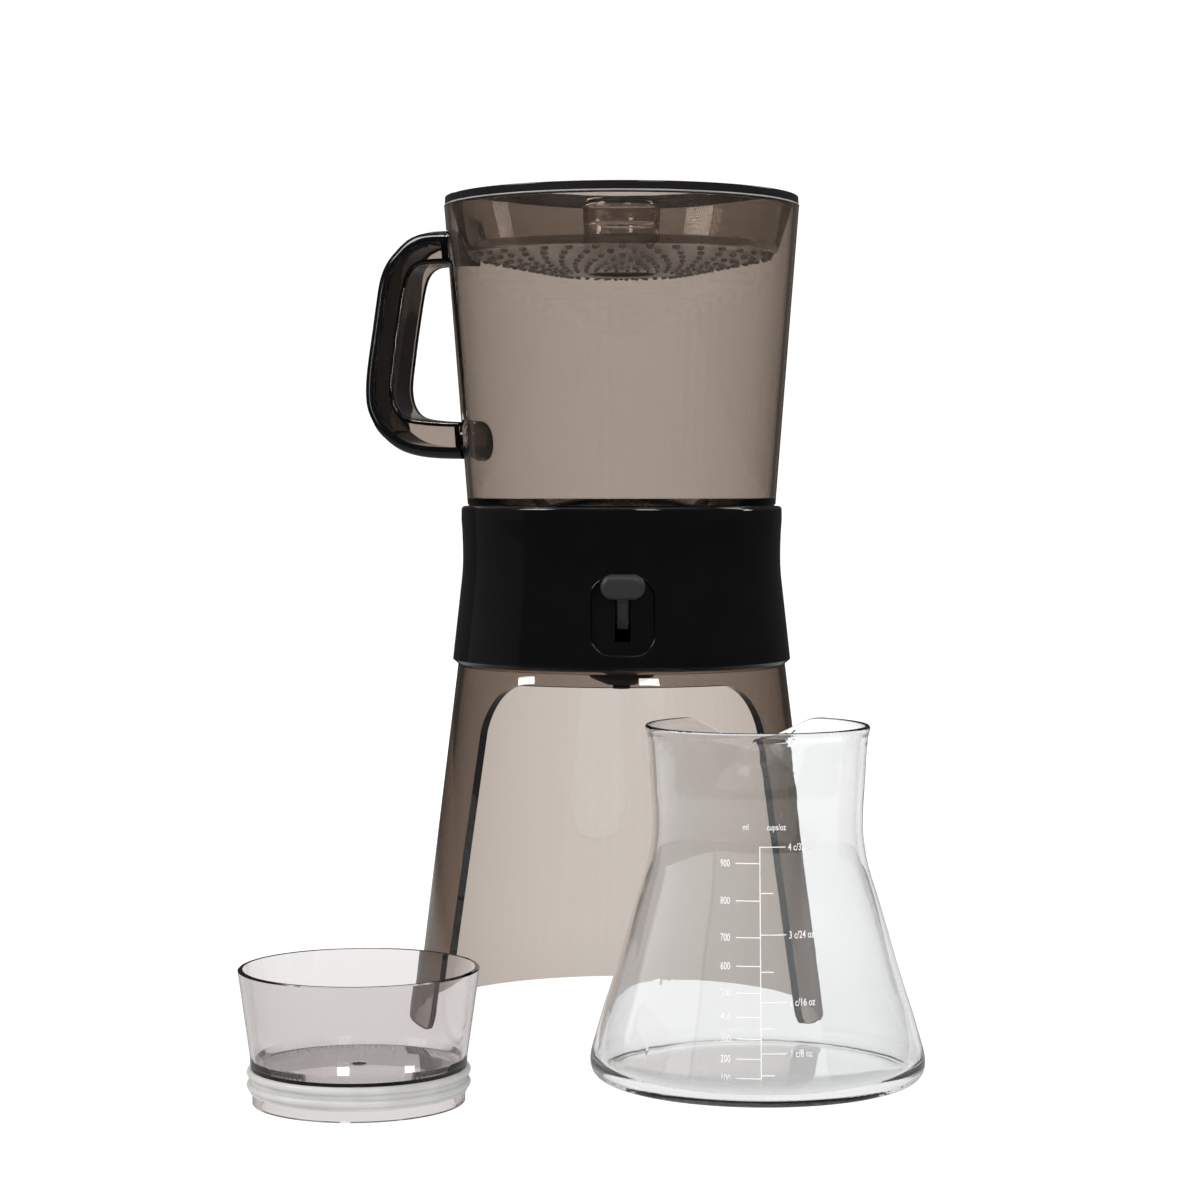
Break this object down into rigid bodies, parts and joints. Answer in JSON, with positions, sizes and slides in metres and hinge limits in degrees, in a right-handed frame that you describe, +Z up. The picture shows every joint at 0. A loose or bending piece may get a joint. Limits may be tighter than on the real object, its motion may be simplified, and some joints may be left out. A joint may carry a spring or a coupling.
{
  "type": "cold brew coffee maker",
  "caption": "Smoke-tinted gravity cold brew coffee maker: lift-off brewing container with handle, rainmaker lid and release switch on a cone stand, with glass carafe and stopper cup.",
  "frame": {"origin": "on the stand's axis at the floor, the centre of the stand's round footprint", "axes": "+Z up, -Y to the front where the release switch and the open side of the stand are, +X to the user's right"},
  "size_m": [0.2851, 0.35, 0.3875],
  "materials": {
    "smoke_clear": "polished, see-through smoke tint",
    "black_gloss": "polished black",
    "black_plastic": "fine matte",
    "switch_grey": "soft matte dark grey",
    "screw_steel": "zinc-bright",
    "spring_steel": "drawn wire",
    "mesh_steel": "woven fine mesh",
    "grey_silicone": "satin",
    "white_silicone": "satin, milky",
    "clear_glass": "clear, fire polished",
    "smoke_light": "polished, see-through pale smoke tint"
  },
  "bodies": {
    "stand": {"stand_shell": "smoke_clear"},
    "brewer": {"brew_container": "smoke_clear", "handle_frame": "smoke_clear", "handle_grip": "black_gloss", "base_collar": "black_gloss", "base_insert": "black_gloss", "base_plate": "black_plastic", "base_screws": "screw_steel", "drain_funnel": "black_plastic", "lever_pin": "screw_steel", "valve_seat": "black_plastic"},
    "switch": {"switch_slider": "switch_grey", "switch_paddle": "switch_grey"},
    "rocker": {"rocker_lever": "black_plastic"},
    "valve": {"valve_stem": "black_plastic", "valve_plug": "grey_silicone", "valve_spring": "spring_steel"},
    "filter": {"filter_frame": "black_plastic", "filter_mesh": "mesh_steel", "filter_gasket": "grey_silicone", "filter_tab": "grey_silicone"},
    "rainmaker": {"rainmaker_tray": "smoke_clear"},
    "carafe": {"carafe_glass": "clear_glass"},
    "stopper_cup": {"cup_body": "smoke_light", "cup_gasket": "white_silicone"}
  },
  "joints": [
    {"name": "brewer_lift", "type": "slide", "parent": "stand", "child": "brewer", "axis": [0, 0, 1], "range_m": [0, 0.06]},
    {"name": "rainmaker_lift", "type": "slide", "parent": "brewer", "child": "rainmaker", "axis": [0, 0, 1], "range_m": [0, 0.06]},
    {"name": "filter_lift", "type": "slide", "parent": "brewer", "child": "filter", "axis": [0, 0, 1], "range_m": [0, 0.09]},
    {"name": "switch_slide", "type": "slide", "parent": "brewer", "child": "switch", "axis": [0, 0, -1], "range_m": [0, 0.012]},
    {"name": "lever_rock", "type": "hinge", "parent": "brewer", "child": "rocker", "pos_m": [0, -0.024, 0.19], "axis": [1, 0, 0], "range_deg": [0, 16.4]},
    {"name": "valve_lift", "type": "slide", "parent": "brewer", "child": "valve", "axis": [0, 0, 1], "range_m": [0, 0.00485], "deforming": ["valve_spring"]},
    {"name": "carafe_lift", "type": "slide", "parent": "stand", "child": "carafe", "axis": [0, 0, 1], "range_m": [0, 0.1]},
    {"name": "cup_lift", "type": "slide", "parent": "stand", "child": "stopper_cup", "axis": [0, 0, 1], "range_m": [0, 0.1]}
  ],
  "couplings": [
    {"joint": "lever_rock", "follows": "switch_slide", "rad_per_m": 23.853},
    {"joint": "valve_lift", "follows": "switch_slide", "ratio": 0.40416}
  ]
}
